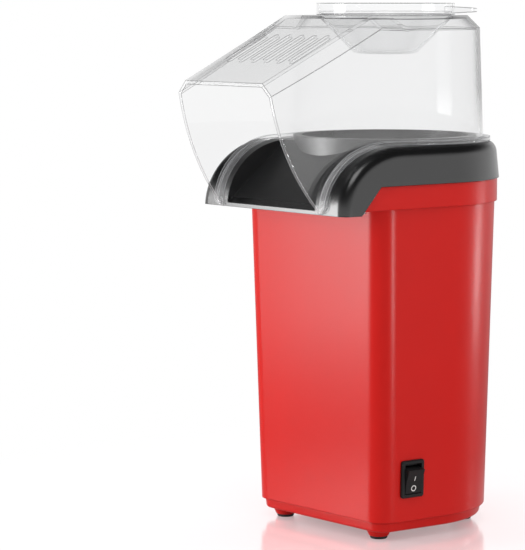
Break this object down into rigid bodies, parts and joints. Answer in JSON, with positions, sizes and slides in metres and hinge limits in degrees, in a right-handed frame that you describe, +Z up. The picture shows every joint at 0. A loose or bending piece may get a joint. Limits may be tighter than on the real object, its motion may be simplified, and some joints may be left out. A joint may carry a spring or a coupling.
{
  "type": "hot-air popcorn maker",
  "caption": "Upright hot-air popcorn maker with a tapered tower, dark collar with chute, clear vented hood, lift-out measuring cup and a rocker switch.",
  "frame": {"origin": "on the floor, under the middle of the bounding box", "axes": "+Z up, -Y towards the chute (the front), +X towards the side with the switch"},
  "size_m": [0.1296, 0.1842, 0.295],
  "materials": {
    "red_plastic": "gloss moulded plastic",
    "black_plastic": "gloss moulded plastic",
    "clear_plastic": "clear polycarbonate",
    "rubber": "moulded rubber",
    "silicone": "moulded silicone",
    "aluminium": "spun, lightly brushed",
    "sheet_steel": "plain sheet",
    "mica": "mica sheet",
    "resistance_wire": "drawn wire",
    "housing_plastic": "heat-resistant plastic",
    "zinc": "zinc plated",
    "brass": "plain",
    "board": "circuit board",
    "dark_parts": "moulded"
  },
  "bodies": {
    "base_unit": {"base_cover": "red_plastic", "base_screws": "zinc", "body_shell": "red_plastic", "chamber_gasket": "silicone", "collar_screws": "zinc", "cord_gland": "rubber", "deck_screws": "zinc", "fan_housing": "housing_plastic", "foot_pads": "rubber", "heater_shroud": "sheet_steel", "heating_coil": "resistance_wire", "mica_board_x": "mica", "mica_board_y": "mica", "motor_can": "sheet_steel", "motor_end_cap": "housing_plastic", "motor_screws": "zinc", "popping_chamber": "aluminium", "rectifier_board": "board", "rectifier_parts": "dark_parts", "switch_housing": "black_plastic", "switch_terminals": "brass", "thermal_fuse": "brass", "thermostat": "sheet_steel", "top_collar": "black_plastic"},
    "lid": {"lid": "clear_plastic"},
    "cup": {"measuring_cup": "clear_plastic"},
    "rocker": {"rocker": "black_plastic"},
    "rotor": {"motor_shaft": "sheet_steel", "fan_wheel": "housing_plastic", "fan_nut": "zinc"}
  },
  "joints": [
    {"name": "lid_lift", "type": "slide", "parent": "base_unit", "child": "lid", "axis": [0, 0, 1], "range_m": [0, 0.12]},
    {"name": "cup_lift", "type": "slide", "parent": "lid", "child": "cup", "axis": [0, 0, 1], "range_m": [0, 0.05]},
    {"name": "rocker_tilt", "type": "hinge", "parent": "base_unit", "child": "rocker", "pos_m": [0.05416, -0.00369, 0.03474], "axis": [0.1081, 0.9941, 0], "range_deg": [-28, 0]},
    {"name": "fan_spin", "type": "hinge", "parent": "base_unit", "child": "rotor", "pos_m": [0, 0.02735, 0.06], "axis": [0, 0, 1], "continuous": true}
  ]
}
